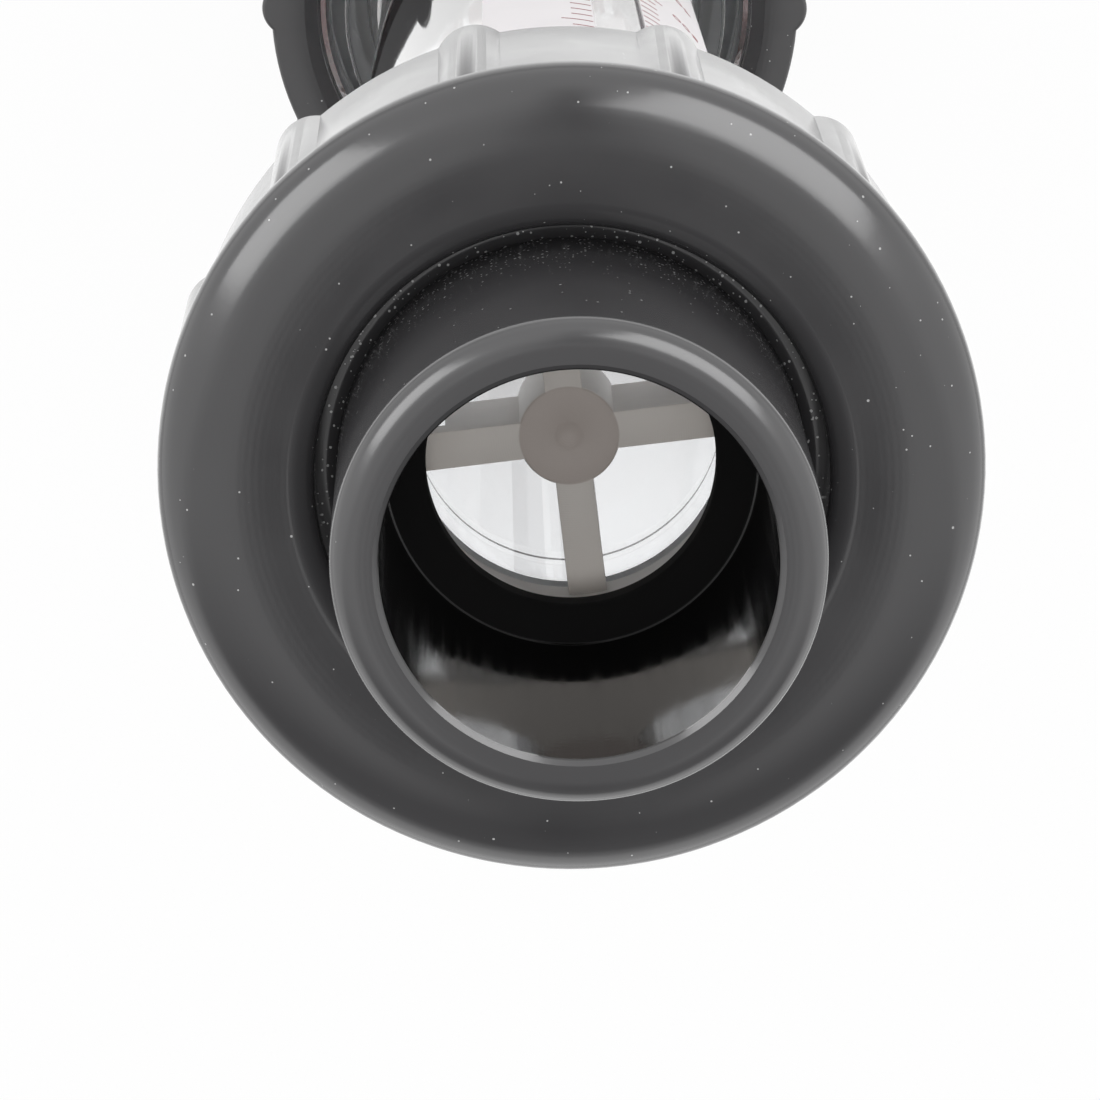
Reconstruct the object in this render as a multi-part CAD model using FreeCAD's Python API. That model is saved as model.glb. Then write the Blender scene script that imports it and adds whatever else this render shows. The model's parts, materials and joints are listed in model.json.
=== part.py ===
import FreeCAD, Part

import math
import os

# Variable-area flow meter for a 32 mm plastic pipe, standing on its inlet.
#
# A clear tube with a bore that widens upwards holds a loose float. A stop at
# each end of the tube keeps the float in. Each end of the tube has a threaded
# collar, and a lugged union nut draws a pipe connector towards that collar,
# with an O-ring between the two.
#
# All sizes are in millimetres and degrees. Z is the axis of the tube and points
# up, the way of the flow. Z = 0 is the mouth of the inlet connector. The scale
# is at the front, which faces -Y. The pieces of one end are drawn at the inlet,
# and the outlet has the same pieces turned end for end.

# Overall length, from the mouth of one connector to the mouth of the other
total_length = 349.0

# Pipe connector: a socket for the pipe, a lip that stops the pipe, and a collar
pipe_diameter = 32.0
pipe_clearance = 0.1
socket_depth = 35.6
socket_wall = 4.0
mouth_rounding = 2.2
mouth_chamfer = 0.5
lip_hole_diameter = 25.1
lip_thickness = 2.5
lip_rounding = 0.5
collar_lead = 0.6
collar_thickness = 9.0
collar_overlap = 5.4
collar_root_rounding = 1.0

# O-ring, squeezed between its groove in the collar and the end of the tube
groove_wall = 1.9
groove_depth = 2.6
seal_width = 3.3
seal_side_room = 0.15
seal_gap = 0.2

# Union nut
nut_hole_clearance = 1.85
nut_hole_rounding = 2.4
nut_front_wall = 7.0
nut_length = 32.9
nut_wall = 5.9
rim_height = 1.4
rim_width = 7.2
rim_depth = 4.6
rim_land = 0.8
rim_edge = 0.3
skirt_end_rounding = 0.6
nut_mouth_chamfer = 1.6
lug_count = 12
lug_height = 1.2
lug_width = 5.6

# Clear tube: its bore and its wall are given at the two ends
tube_bore_inlet = 22.4
tube_bore_outlet = 28.0
tube_wall_inlet = 8.4
tube_wall_outlet = 7.8
shoulder_step = 2.7
shoulder_length = 6.5
shoulder_edge = 0.9
shoulder_root_rounding = 1.4
thread_step = 0.4
thread_clearance = 0.4
thread_length = 14.2
thread_chamfer = 0.8

# Float stop: a ring across the joint of tube and connector, four arms with vanes, and a hub
stop_seat_step = 3.6
stop_seat_depth = 5.0
stop_clearance = 0.2
stop_ring_wall = 3.0
arm_count = 4
arm_width_at_hub = 3.3
arm_width_at_ring = 3.4
arm_thickness = 2.8
vane_depth = 8.1
vane_clearance = 0.4
hub_diameter = 9.0
hub_proud_inside = 1.0
hub_edge = 0.3
dimple_radius = 1.3
dimple_depth = 0.3

# Float: foot, cone, flare, metering head and knob, from the bottom up
float_clearance = 0.4
foot_diameter = 8.0
foot_height = 2.5
cone_height = 16.0
flare_height = 3.5
flare_width = 3.4
head_height = 4.0
head_chamfer = 1.0
knob_diameter = 9.0
knob_height = 8.0
float_edge = 0.5

# Scale film, stuck to the front of the tube
film_thickness = 0.2
film_glue = 0.15
film_angle = 80.0
film_margin = 8.0

# How far the turned pieces stand round the axis
inlet_nut_turn = 20.0
outlet_nut_turn = 5.0
inlet_stop_turn = 45.0
outlet_stop_turn = 27.0

# Radii that follow from the sizes above
socket_radius = pipe_diameter / 2 + pipe_clearance
connector_radius = socket_radius + socket_wall
lip_hole_radius = lip_hole_diameter / 2
nut_hole_radius = connector_radius + nut_hole_clearance
collar_radius = nut_hole_radius + collar_overlap
thread_radius = collar_radius + thread_step
nut_bore_radius = thread_radius + thread_clearance
skirt_radius = nut_bore_radius + nut_wall
rim_radius = skirt_radius + rim_height
bore_radius_inlet = tube_bore_inlet / 2
bore_radius_outlet = tube_bore_outlet / 2
tube_radius_inlet = bore_radius_inlet + tube_wall_inlet
tube_radius_outlet = bore_radius_outlet + tube_wall_outlet
shoulder_radius = tube_radius_outlet + shoulder_step
stop_seat_radius = bore_radius_outlet + stop_seat_step
stop_ring_radius = stop_seat_radius - stop_clearance
stop_opening_radius = stop_ring_radius - stop_ring_wall
groove_inner_radius = stop_seat_radius + groove_wall
seal_inner_radius = groove_inner_radius + seal_side_room
seal_outer_radius = seal_inner_radius + seal_width
groove_outer_radius = seal_outer_radius + seal_side_room
hub_radius = hub_diameter / 2
vane_radius = bore_radius_inlet - vane_clearance
float_radius = bore_radius_inlet - float_clearance

# Heights at the inlet end that follow from the sizes above
lip_end = socket_depth + lip_thickness
collar_start = socket_depth - collar_lead
collar_end = collar_start + collar_thickness
nut_start = collar_start - nut_front_wall
nut_end = nut_start + nut_length
tube_start = collar_end + seal_gap
thread_end = tube_start + thread_length
shoulder_end = thread_end + shoulder_length
stop_seat_end = tube_start + stop_seat_depth
stop_start = lip_end + stop_clearance
stop_end = stop_seat_end - stop_clearance
arm_start = stop_end - arm_thickness
vane_end = stop_end + vane_depth
hub_start = arm_start
hub_end = vane_end + hub_proud_inside

AXIS = FreeCAD.Vector(0, 0, 1)
CENTRE = FreeCAD.Vector(0, 0, 0)
FULL_TURN = 360.0
HALF_TURN = 180.0
FRONT_ANGLE = -90.0
SAME_LENGTH = 0.001

# The middle weight that makes a curve of three points an exact quarter of an ellipse
QUARTER_WEIGHT = math.sqrt(0.5)


class Outline:
    """A closed outline in the half-plane of radius and height, drawn point by point."""

    def __init__(self, radius, height):
        self.start = FreeCAD.Vector(radius, 0, height)
        self.pen = self.start
        self.edges = []

    def line(self, radius, height):
        """A straight edge to a point."""
        end = FreeCAD.Vector(radius, 0, height)
        self.edges.append(Part.LineSegment(self.pen, end).toShape())
        self.pen = end

    def round(self, radius, height, corner_radius, corner_height):
        """A quarter of an ellipse to a point, in place of the square corner given."""
        end = FreeCAD.Vector(radius, 0, height)
        corner = FreeCAD.Vector(corner_radius, 0, corner_height)
        curve = Part.BSplineCurve()
        poles = [self.pen, corner, end]
        weights = [1, QUARTER_WEIGHT, 1]
        curve.buildFromPolesMultsKnots(poles, [3, 3], [0, 1], False, 2, weights)
        self.edges.append(curve.toShape())
        self.pen = end

    def turn(self, angle=FULL_TURN):
        """The solid that the closed outline makes when it is turned about the axis."""
        if (self.pen - self.start).Length > SAME_LENGTH:
            self.line(self.start.x, self.start.z)
        face = Part.Face(Part.Wire(self.edges))
        return face.revolve(CENTRE, AXIS, angle)


def turned(shape, angle):
    """A copy of a shape, turned about the axis."""
    copy = shape.copy()
    copy.rotate(CENTRE, AXIS, angle)
    return copy


def at_outlet(shape):
    """A copy of an inlet piece, turned end for end to the outlet."""
    copy = shape.copy()
    copy.rotate(CENTRE, FreeCAD.Vector(1, 0, 0), HALF_TURN)
    copy.translate(AXIS * total_length)
    return copy


def ring_of(shape, count):
    """Copies of a shape, evenly spaced round the axis."""
    return [turned(shape, FULL_TURN * index / count) for index in range(count)]


def connector():
    """The pipe connector: socket, lip, seat for the float stop and grooved collar."""
    groove_floor = collar_end - groove_depth
    root = collar_root_rounding
    outline = Outline(socket_radius + mouth_chamfer, 0)
    outline.line(connector_radius - mouth_rounding, 0)
    outline.round(connector_radius, mouth_rounding, connector_radius, 0)
    outline.line(connector_radius, collar_start - root)
    outline.round(connector_radius + root, collar_start, connector_radius, collar_start)
    outline.line(collar_radius, collar_start)
    outline.line(collar_radius, collar_end)
    outline.line(groove_outer_radius, collar_end)
    outline.line(groove_outer_radius, groove_floor)
    outline.line(groove_inner_radius, groove_floor)
    outline.line(groove_inner_radius, collar_end)
    outline.line(stop_seat_radius, collar_end)
    outline.line(stop_seat_radius, lip_end)
    outline.line(lip_hole_radius, lip_end)
    outline.line(lip_hole_radius, socket_depth + lip_rounding)
    outline.round(lip_hole_radius + lip_rounding, socket_depth, lip_hole_radius, socket_depth)
    outline.line(socket_radius, socket_depth)
    outline.line(socket_radius, mouth_chamfer)
    return outline.turn()


def o_ring():
    """The O-ring, flattened between the floor of its groove and the end of the tube."""
    floor = collar_end - groove_depth
    middle = (floor + tube_start) / 2
    bulge = (tube_start - floor) / 2
    inner = seal_inner_radius
    outer = seal_outer_radius
    outline = Outline(inner + bulge, floor)
    outline.line(outer - bulge, floor)
    outline.round(outer, middle, outer, floor)
    outline.round(outer - bulge, tube_start, outer, tube_start)
    outline.line(inner + bulge, tube_start)
    outline.round(inner, middle, inner, tube_start)
    outline.round(inner + bulge, floor, inner, floor)
    return outline.turn()


def nut_body():
    """The turned body of the nut: rounded front rim, plain skirt and open back."""
    face_edge = nut_hole_radius + nut_hole_rounding
    rim_top = nut_start + rim_depth
    rim_back = rim_top + rim_land
    outline = Outline(nut_hole_radius, collar_start)
    outline.line(nut_hole_radius, nut_start + nut_hole_rounding)
    outline.round(face_edge, nut_start, nut_hole_radius, nut_start)
    outline.line(rim_radius - rim_width, nut_start)
    outline.round(rim_radius, rim_top, rim_radius, nut_start)
    outline.line(rim_radius, rim_back - rim_edge)
    outline.line(rim_radius - rim_edge, rim_back)
    outline.line(skirt_radius, rim_back)
    outline.line(skirt_radius, nut_end - skirt_end_rounding)
    outline.round(skirt_radius - skirt_end_rounding, nut_end, skirt_radius, nut_end)
    outline.line(nut_bore_radius + nut_mouth_chamfer, nut_end)
    outline.line(nut_bore_radius, nut_end - nut_mouth_chamfer)
    outline.line(nut_bore_radius, collar_start)
    return outline.turn()


def nut_lug():
    """One round-backed grip lug, from inside the rim to the open end of the nut."""
    half_width = lug_width / 2
    chord = math.sqrt(skirt_radius**2 - half_width**2)
    rise = skirt_radius + lug_height - chord
    lug_radius = (half_width**2 + rise**2) / (2 * rise)
    lug_start = nut_start + rim_depth
    foot = FreeCAD.Vector(chord + rise - lug_radius, 0, lug_start)
    lug = Part.makeCylinder(lug_radius, nut_end - lug_start, foot)
    end_edges = [edge for edge in lug.Edges if edge.BoundBox.ZMin > nut_end - SAME_LENGTH]
    return lug.makeFillet(skirt_end_rounding, end_edges)


def union_nut():
    """The union nut: its turned body with the ring of grip lugs."""
    return nut_body().fuse(ring_of(nut_lug(), lug_count)).removeSplitter()


def metering_tube():
    """The clear tube: widening bore, and at each end a stop's seat, a thread collar and a shoulder."""
    root = shoulder_root_rounding
    edge = shoulder_edge
    chamfer = thread_chamfer
    low_root = shoulder_end + root
    high_shoulder = total_length - shoulder_end
    high_root = high_shoulder - root
    high_thread = total_length - thread_end
    top = total_length - tube_start
    outline = Outline(stop_seat_radius, tube_start)
    outline.line(thread_radius - chamfer, tube_start)
    outline.line(thread_radius, tube_start + chamfer)
    outline.line(thread_radius, thread_end - chamfer)
    outline.line(thread_radius - chamfer, thread_end)
    outline.line(shoulder_radius, thread_end)
    outline.line(shoulder_radius, shoulder_end - edge)
    outline.round(shoulder_radius - edge, shoulder_end, shoulder_radius, shoulder_end)
    outline.line(tube_radius_inlet + root, shoulder_end)
    outline.round(tube_radius_inlet, low_root, tube_radius_inlet, shoulder_end)
    outline.line(tube_radius_outlet, high_root)
    outline.round(tube_radius_outlet + root, high_shoulder, tube_radius_outlet, high_shoulder)
    outline.line(shoulder_radius - edge, high_shoulder)
    outline.round(shoulder_radius, high_shoulder + edge, shoulder_radius, high_shoulder)
    outline.line(shoulder_radius, high_thread)
    outline.line(thread_radius - chamfer, high_thread)
    outline.line(thread_radius, high_thread + chamfer)
    outline.line(thread_radius, top - chamfer)
    outline.line(thread_radius - chamfer, top)
    outline.line(stop_seat_radius, top)
    outline.line(stop_seat_radius, total_length - stop_seat_end)
    outline.line(bore_radius_outlet, total_length - stop_seat_end)
    outline.line(bore_radius_inlet, stop_seat_end)
    outline.line(stop_seat_radius, stop_seat_end)
    return outline.turn()


def arm_bar(reach, end_width, end):
    """A bar that goes from the axis outwards and from the outer face of the arms to a height."""
    corners = [
        FreeCAD.Vector(0, -arm_width_at_hub / 2, arm_start),
        FreeCAD.Vector(reach, -end_width / 2, arm_start),
        FreeCAD.Vector(reach, end_width / 2, arm_start),
        FreeCAD.Vector(0, arm_width_at_hub / 2, arm_start),
    ]
    face = Part.Face(Part.makePolygon(corners + corners[:1]))
    return face.extrude(AXIS * (end - arm_start))


def stop_arm():
    """One arm of the float stop, from the hub to the middle of the ring's wall, with its vane in the bore."""
    reach = stop_ring_radius - stop_ring_wall / 2
    vane_width = arm_width_at_hub + (arm_width_at_ring - arm_width_at_hub) * vane_radius / reach
    arm = arm_bar(reach, arm_width_at_ring, stop_end)
    return arm.fuse(arm_bar(vane_radius, vane_width, vane_end))


def float_stop():
    """The float stop: a ring, its arms, and a hub with a dimple outside and a flat end inside."""
    ring = Outline(stop_opening_radius, stop_start)
    ring.line(stop_ring_radius, stop_start)
    ring.line(stop_ring_radius, stop_end)
    ring.line(stop_opening_radius, stop_end)
    hub = Outline(0, hub_start)
    hub.line(hub_radius - hub_edge, hub_start)
    hub.line(hub_radius, hub_start + hub_edge)
    hub.line(hub_radius, hub_end - hub_edge)
    hub.line(hub_radius - hub_edge, hub_end)
    hub.line(0, hub_end)
    dimple = Outline(0, hub_start)
    dimple.line(dimple_radius, hub_start)
    dimple.line(0, hub_start + dimple_depth)
    whole = ring.turn().fuse([hub.turn()] + ring_of(stop_arm(), arm_count)).removeSplitter()
    return whole.cut(dimple.turn())


def float_body():
    """The float, standing with its foot on the hub of the inlet's stop."""
    foot_radius = foot_diameter / 2
    knob_radius = knob_diameter / 2
    waist_radius = float_radius - flare_width
    cone_start = hub_end + foot_height
    flare_start = cone_start + cone_height
    head_start = flare_start + flare_height
    head_end = head_start + head_height
    knob_end = head_end + knob_height
    outline = Outline(0, hub_end)
    outline.line(foot_radius - float_edge, hub_end)
    outline.line(foot_radius, hub_end + float_edge)
    outline.line(foot_radius, cone_start)
    outline.line(waist_radius, flare_start)
    outline.round(float_radius, head_start, waist_radius, head_start)
    outline.line(float_radius, head_end - head_chamfer)
    outline.line(float_radius - head_chamfer, head_end)
    outline.line(knob_radius, head_end)
    outline.line(knob_radius, knob_end - float_edge)
    outline.line(knob_radius - float_edge, knob_end)
    outline.line(0, knob_end)
    return outline.turn()


def scale_film():
    """The film that carries the scale, wrapped round the front of the tube between its shoulders."""
    cone_low = shoulder_end + shoulder_root_rounding
    cone_high = total_length - cone_low
    slope = (tube_radius_outlet - tube_radius_inlet) / (cone_high - cone_low)
    low = cone_low + film_margin
    high = cone_high - film_margin
    low_radius = tube_radius_inlet + slope * film_margin + film_glue
    high_radius = tube_radius_outlet - slope * film_margin + film_glue
    outline = Outline(low_radius, low)
    outline.line(low_radius + film_thickness, low)
    outline.line(high_radius + film_thickness, high)
    outline.line(high_radius, high)
    return turned(outline.turn(film_angle), FRONT_ANGLE - film_angle / 2)


end_connector = connector()
end_seal = o_ring()
end_nut = union_nut()
end_stop = float_stop()
pieces = {
    "inlet_connector": end_connector,
    "inlet_o_ring": end_seal,
    "inlet_union_nut": turned(end_nut, inlet_nut_turn),
    "inlet_float_stop": turned(end_stop, inlet_stop_turn),
    "metering_tube": metering_tube(),
    "float": float_body(),
    "scale_film": scale_film(),
    "outlet_connector": at_outlet(end_connector),
    "outlet_o_ring": at_outlet(end_seal),
    "outlet_union_nut": turned(at_outlet(end_nut), outlet_nut_turn),
    "outlet_float_stop": turned(at_outlet(end_stop), outlet_stop_turn),
}
os.makedirs("parts", exist_ok=True)
for name, shape in pieces.items():
    shape.exportStep(os.path.join("parts", name + ".step"))
    print(name, "valid" if shape.isValid() else "NOT VALID", len(shape.Solids), round(shape.Volume, 1))
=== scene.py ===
import json
import math

import bpy
from mathutils import Matrix, Vector


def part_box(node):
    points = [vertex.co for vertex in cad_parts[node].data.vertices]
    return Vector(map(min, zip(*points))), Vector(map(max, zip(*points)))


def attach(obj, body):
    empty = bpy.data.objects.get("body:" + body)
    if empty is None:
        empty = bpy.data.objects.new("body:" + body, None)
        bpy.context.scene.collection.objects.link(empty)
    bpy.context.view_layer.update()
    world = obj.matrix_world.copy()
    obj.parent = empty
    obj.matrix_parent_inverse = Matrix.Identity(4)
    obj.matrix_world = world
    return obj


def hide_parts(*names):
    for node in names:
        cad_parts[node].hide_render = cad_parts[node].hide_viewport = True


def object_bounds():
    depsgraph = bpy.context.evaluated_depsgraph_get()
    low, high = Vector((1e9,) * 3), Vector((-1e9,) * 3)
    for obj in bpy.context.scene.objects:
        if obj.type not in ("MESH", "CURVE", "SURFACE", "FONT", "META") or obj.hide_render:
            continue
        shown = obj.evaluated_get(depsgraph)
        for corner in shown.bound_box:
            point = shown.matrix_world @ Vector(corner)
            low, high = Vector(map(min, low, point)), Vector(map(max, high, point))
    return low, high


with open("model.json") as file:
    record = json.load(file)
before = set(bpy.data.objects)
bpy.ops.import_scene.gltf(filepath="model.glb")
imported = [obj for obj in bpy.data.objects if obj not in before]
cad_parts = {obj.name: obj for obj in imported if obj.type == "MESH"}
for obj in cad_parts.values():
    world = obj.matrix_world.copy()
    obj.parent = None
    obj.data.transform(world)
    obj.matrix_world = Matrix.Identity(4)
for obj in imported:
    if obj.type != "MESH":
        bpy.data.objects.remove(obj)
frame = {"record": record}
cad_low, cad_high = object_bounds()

# Metering tube
# The clear body of the meter, one thick plastic tube with a bore that widens
# towards the outlet. Each end is turned to a seat for the float stop, a thread
# for the union nut and a shoulder. The seats are frosted, the rest is polished.
MM = 0.001
FULL_TURN = 2 * math.pi
TOUCHING = 0.002 * MM
MASK_EDGE = 0.05 * MM
SMOOTH_ANGLE = math.radians(32)
half_height = cad_high.z / 2
total_length = cad_high.z / MM
tube_low, tube_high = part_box("metering_tube")
tube_start = tube_low.z / MM
tube_radius_inlet = 19.6
tube_radius_outlet = 21.8
bore_radius_inlet = 11.2
bore_radius_outlet = 14.0
stop_seat_radius = 17.6
stop_seat_depth = 5.0
stop_seat_end = tube_start + stop_seat_depth
thread_radius = tube_high.x / MM
thread_length = 14.2
thread_end = tube_start + thread_length
thread_chamfer = 0.8
thread_depth = 1.2
thread_pitch = 2.4
shoulder_radius = 24.5
shoulder_length = 6.5
shoulder_end = thread_end + shoulder_length
shoulder_edge = 0.9
shoulder_root = 1.4
tube_polish = 0.02
seat_frost = 0.55
PLASTIC_CLEAR = (0.955, 0.965, 0.975, 1)


def quarter(start, corner, end, steps=8):
    """Points of the quarter ellipse that rounds a corner, as (radius, height) in mm."""
    centre = [a + b - c for a, b, c in zip(start, end, corner)]
    points = []
    for step in range(steps + 1):
        angle = math.pi / 2 * step / steps
        away, along = math.cos(angle), math.sin(angle)
        points.append(tuple(c + (a - c) * away + (b - c) * along for a, b, c in zip(start, end, centre)))
    return points


def start_outline(outline):
    """A new mesh in edit mode that holds the closed outline in the XZ plane, all selected."""
    bpy.ops.object.select_all(action="DESELECT")
    bpy.ops.mesh.primitive_plane_add(size=MM)
    bpy.ops.object.mode_set(mode="EDIT")
    bpy.ops.mesh.select_all(action="SELECT")
    bpy.ops.mesh.merge(type="CENTER")
    radius, height = outline[0]
    bpy.ops.transform.translate(value=(radius * MM, 0, height * MM))
    for start, end in zip(outline, outline[1:] + outline[:1]):
        step = ((end[0] - start[0]) * MM, 0, (end[1] - start[1]) * MM)
        bpy.ops.mesh.extrude_vertices_move(TRANSFORM_OT_translate={"value": step})
    bpy.ops.mesh.select_all(action="SELECT")
    bpy.ops.mesh.remove_doubles(threshold=TOUCHING)


def spin(angle, steps):
    """Turns what is selected anticlockwise about the axis and leaves the far end selected."""
    bpy.ops.mesh.spin(steps=steps, angle=angle, center=(0, 0, 0), axis=(0, 0, -1))


def close_mesh(name):
    """Leaves edit mode with the doubles merged, the faces outwards and the sharp edges kept."""
    bpy.ops.mesh.select_all(action="SELECT")
    bpy.ops.mesh.remove_doubles(threshold=TOUCHING)
    bpy.ops.mesh.normals_make_consistent(inside=False)
    bpy.ops.object.mode_set(mode="OBJECT")
    bpy.ops.object.shade_smooth_by_angle(angle=SMOOTH_ANGLE)
    piece = bpy.context.active_object
    piece.name = name
    piece.data.name = name
    return piece


def lathe(name, outline, steps=180):
    """A piece turned all the way round the axis from a closed outline."""
    start_outline(outline)
    spin(FULL_TURN, steps)
    return close_mesh(name)


def thread_ridges(crest, root, start, end):
    """Points of the ridges between two heights, which stand in for a cut thread."""
    crest_end = 0.3 * thread_pitch
    root_start = 0.55 * thread_pitch
    root_end = 0.75 * thread_pitch
    count = int((end - start) / thread_pitch)
    points = []
    for index in range(count):
        foot = start + index * thread_pitch
        points += [(crest, foot), (crest, foot + crest_end)]
        points += [(root, foot + root_start), (root, foot + root_end)]
    return points + [(crest, start + count * thread_pitch), (crest, end)]


def tube_end(tube_radius):
    """The outside of one end of the tube, from the seat's edge to the foot of the shoulder."""
    crest_start = tube_start + thread_chamfer
    crest_end = thread_end - thread_chamfer
    points = [(stop_seat_radius, tube_start), (thread_radius - thread_chamfer, tube_start)]
    points += thread_ridges(thread_radius, thread_radius - thread_depth, crest_start, crest_end)
    points += [(thread_radius - thread_chamfer, thread_end), (shoulder_radius, thread_end)]
    points += quarter(
        (shoulder_radius, shoulder_end - shoulder_edge),
        (shoulder_radius, shoulder_end),
        (shoulder_radius - shoulder_edge, shoulder_end),
    )
    points += quarter(
        (tube_radius + shoulder_root, shoulder_end),
        (tube_radius, shoulder_end),
        (tube_radius, shoulder_end + shoulder_root),
    )
    return points


def from_outlet(points):
    """An inlet outline's points at the other end of the meter, in the other order."""
    return [(radius, total_length - height) for radius, height in reversed(points)]


def add(tree, kind, *ordered, settings=None, **named):
    """A node whose inputs are given in order or by name, each as a value or as another node's output."""
    made = tree.nodes.new(kind)
    for name, value in (settings or {}).items():
        setattr(made, name, value)
    given = list(enumerate(ordered)) + [(name.replace("_", " "), value) for name, value in named.items()]
    for key, value in given:
        if isinstance(value, bpy.types.NodeSocket):
            tree.links.new(value, made.inputs[key])
        else:
            made.inputs[key].default_value = value
    return made


def finish(name, **plain):
    """A new material with plain values on its shader, and its node tree, shader and object coordinates."""
    made = bpy.data.materials.new(name)
    made.use_nodes = True
    tree = made.node_tree
    shader = tree.nodes["Principled BSDF"]
    for socket, value in plain.items():
        shader.inputs[socket.replace("_", " ")].default_value = value
    place = add(tree, "ShaderNodeTexCoord").outputs["Object"]
    return made, tree, shader, place


def remap(tree, value, low, high, to_low, to_high):
    """A value moved from one range to another."""
    return add(tree, "ShaderNodeMapRange", value, low, high, to_low, to_high).outputs[0]


def maths(tree, operation, first, second=0):
    """The outcome of an operation on one or two values."""
    return add(tree, "ShaderNodeMath", first, second, settings={"operation": operation}).outputs[0]


def apart(tree, value, middle):
    """How far a value is from a middle one, on either side."""
    return maths(tree, "ABSOLUTE", maths(tree, "SUBTRACT", value, middle))


def from_half_height(tree, place):
    """How far a point is above or below the meter's half height, in metres, so that both ends are alike."""
    height = add(tree, "ShaderNodeSeparateXYZ", place).outputs["Z"]
    return apart(tree, height, half_height)


def noise(tree, vector, scale, detail):
    """A cloudy pattern between nought and one."""
    return add(tree, "ShaderNodeTexNoise", Vector=vector, Scale=scale, Detail=detail).outputs["Fac"]


def dress(piece, material, slot, body, *nodes):
    """Gives a piece its material, the body it rides on and the nodes that it stands for, which are hidden;
    the slot is not used.
    """
    piece.data.materials.clear()
    piece.data.materials.append(material)
    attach(piece, body)
    if nodes:
        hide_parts(*nodes)


bore_end = total_length - stop_seat_end
tube_outline = tube_end(tube_radius_inlet) + from_outlet(tube_end(tube_radius_outlet))
tube_outline += [(stop_seat_radius, bore_end), (bore_radius_outlet, bore_end)]
tube_outline += [(bore_radius_inlet, stop_seat_end), (stop_seat_radius, stop_seat_end)]
tube = lathe("clear_metering_tube", tube_outline)

clear_plastic, tree, shader, place = finish(
    "clear_plastic", Base_Color=PLASTIC_CLEAR, Transmission_Weight=1, IOR=1.49
)
drawn = add(tree, "ShaderNodeMapping", place, Scale=(420, 420, 6)).outputs[0]
lines = noise(tree, drawn, scale=1, detail=3)
wave = add(tree, "ShaderNodeBump", Height=lines, Strength=0.06, Distance=0.2 * MM)
tree.links.new(wave.outputs[0], shader.inputs["Normal"])
seat = half_height - stop_seat_end * MM
from_middle = from_half_height(tree, place)
frosted = remap(tree, from_middle, seat - 2 * MASK_EDGE, seat - MASK_EDGE, tube_polish, seat_frost)
tree.links.new(frosted, shader.inputs["Roughness"])
dress(tube, clear_plastic, "clear_tube", "meter_body", "metering_tube")

# Float
# A loose plug turned from dark red plastic. The flow lifts it, and the edge of
# its head is read against the scale. The tool left fine rings round it.
float_low, float_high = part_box("float")
float_start = float_low.z / MM
float_end = float_high.z / MM
float_radius = float_high.x / MM
foot_radius = 4.0
foot_height = 2.5
cone_height = 16.0
flare_height = 3.5
flare_width = 3.4
head_height = 4.0
head_chamfer = 1.0
knob_radius = 4.5
float_edge = 0.5
DARK_RED = (0.115, 0.012, 0.010, 1)
WORN_RED = (0.165, 0.022, 0.017, 1)

cone_start = float_start + foot_height
flare_start = cone_start + cone_height
head_start = flare_start + flare_height
head_end = head_start + head_height
waist_radius = float_radius - flare_width
float_outline = [(0, float_start), (foot_radius - float_edge, float_start)]
float_outline += [(foot_radius, float_start + float_edge), (foot_radius, cone_start)]
float_outline += quarter(
    (waist_radius, flare_start), (waist_radius, head_start), (float_radius, head_start)
)
float_outline += [(float_radius, head_end - head_chamfer), (float_radius - head_chamfer, head_end)]
float_outline += [(knob_radius, head_end), (knob_radius, float_end - float_edge)]
float_outline += [(knob_radius - float_edge, float_end), (0, float_end)]
plug = lathe("turned_float", float_outline, steps=96)


def between(tree, mask, first, second):
    """The colour that goes from the first to the second with a mask."""
    made = tree.nodes.new("ShaderNodeMix")
    made.data_type = "RGBA"
    tree.links.new(mask, made.inputs[0])
    for index, colour in ((6, first), (7, second)):
        if isinstance(colour, bpy.types.NodeSocket):
            tree.links.new(colour, made.inputs[index])
        else:
            made.inputs[index].default_value = colour
    return made.outputs[2]


red_plastic, tree, shader, place = finish("turned_red_plastic", Roughness=0.3)
rings = add(
    tree, "ShaderNodeTexWave", settings={"bands_direction": "Z"}, Vector=place, Scale=900, Distortion=0.4
).outputs["Fac"]
patches = noise(tree, place, scale=260, detail=3)
tree.links.new(between(tree, patches, DARK_RED, WORN_RED), shader.inputs["Base Color"])
cut = add(tree, "ShaderNodeBump", Height=rings, Strength=0.12, Distance=0.05 * MM)
tree.links.new(cut.outputs[0], shader.inputs["Normal"])
dress(plug, red_plastic, "float_plastic", "float", "float")

# Float stops
# A ring with four arms and a hub, moulded in off-white plastic, held in the
# seat at each end of the tube so that the float can't leave it. A vane behind
# each arm steadies the flow. The front was turned, which left fine rings on it.
NEARLY = 0.01
stop_low, stop_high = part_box("inlet_float_stop")
stop_start = stop_low.z / MM
stop_ring_radius = stop_high.x / MM
stop_ring_wall = 3.0
stop_ring_inside = stop_ring_radius - stop_ring_wall
stop_edge = 0.25
hub_end = stop_high.z / MM
hub_past_vane = 1.0
vane_end = hub_end - hub_past_vane
vane_length = 8.1
vane_radius = 10.8
stop_end = vane_end - vane_length
arm_count = 4
arm_thickness = 2.8
arm_start = stop_end - arm_thickness
arm_width_at_hub = 3.3
arm_width_at_ring = 3.4
arm_edge = 0.15
hub_radius = 4.5
hub_proud = 0.02
hub_start = arm_start - hub_proud
hub_edge = 0.3
hub_shade_full = hub_radius - 0.15
hub_shade_end = hub_radius - 0.02
dimple_radius = 1.3
dimple_depth = 0.3
dimple_angles = (0.4, 0.8, 1.2)
inlet_stop_turn = 45.0
outlet_stop_turn = 27.0
STOP_IVORY = (0.90, 0.87, 0.84, 1)
STOP_SHADE = (0.85, 0.82, 0.79, 1)
# Painted shade: the front faces lie deep in the socket and get less light than the vanes' sides, so they are
# coloured darker.
FRONT_PAINTED_SHADE = (0.76, 0.72, 0.68, 1)
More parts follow.
